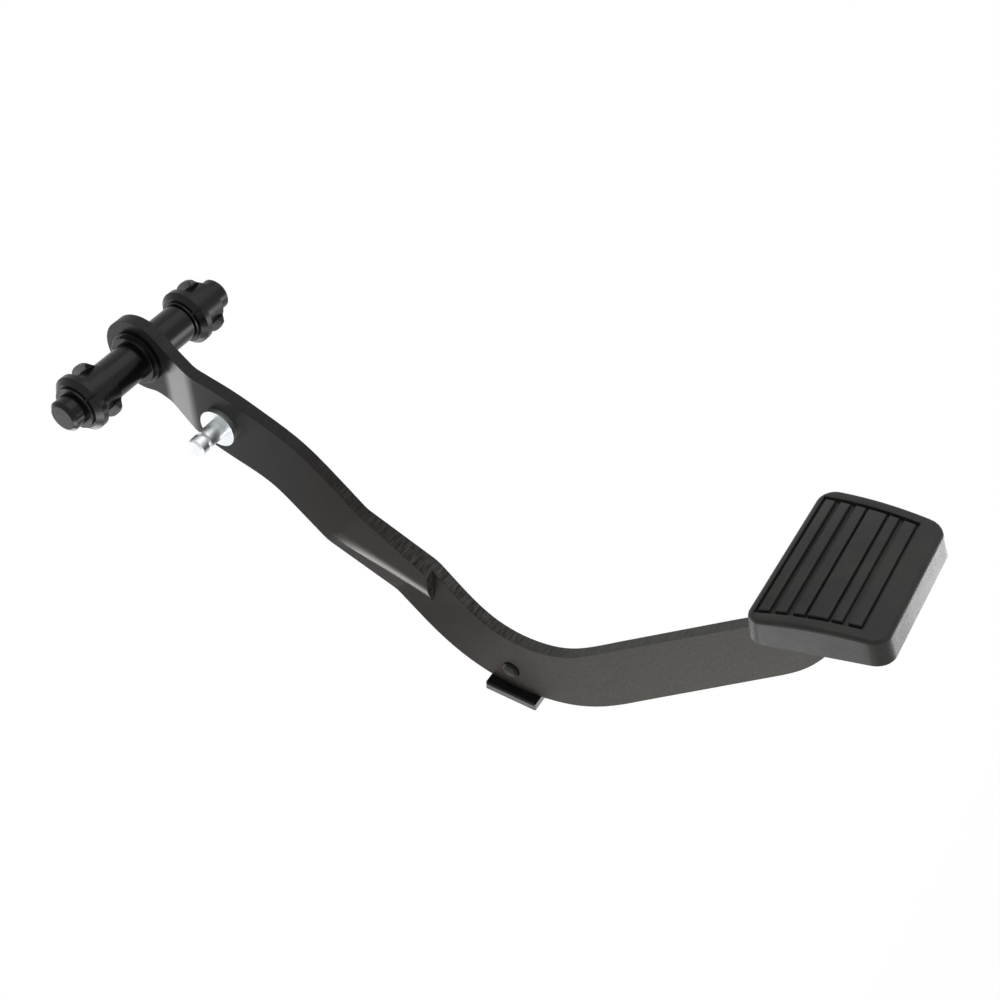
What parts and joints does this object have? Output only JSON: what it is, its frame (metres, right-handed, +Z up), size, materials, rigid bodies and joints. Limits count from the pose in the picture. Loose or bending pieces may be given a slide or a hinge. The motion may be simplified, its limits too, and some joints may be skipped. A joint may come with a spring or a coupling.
{
  "type": "clutch pedal assembly",
  "caption": "Hanging clutch pedal: bowed flat-bar steel arm on a cross shaft with snap-in bushings, pushrod stud, rubber stop bumper and ribbed rubber foot pad.",
  "frame": {"origin": "on the pivot axis, in the middle of the arm's eye", "axes": "+Y along the pivot shaft away from the pushrod stud's tip, +Z up with the pedal hanging at rest, +X towards the driver"},
  "size_m": [0.1961, 0.111, 0.3799],
  "materials": {
    "black_paint": "satin black paint on steel",
    "zinc_plate": "bright zinc plating",
    "rubber": "moulded black rubber",
    "black_nylon": "moulded black nylon"
  },
  "bodies": {
    "bushings": {"near_bushing": "black_nylon", "far_bushing": "black_nylon"},
    "pedal": {"pedal_arm": "black_paint", "pivot_shaft": "black_paint", "pivot_collar": "black_paint", "shaft_weld": "black_paint", "pushrod_stud": "zinc_plate", "stop_bumper": "rubber", "pad_plate": "black_paint", "plate_weld_near": "black_paint", "plate_weld_far": "black_paint", "pedal_pad": "rubber"}
  },
  "joints": [
    {"name": "pedal_swing", "type": "hinge", "parent": "bushings", "child": "pedal", "pos_m": [0, 0, 0], "axis": [0, 1, 0], "range_deg": [-8, 18]}
  ]
}
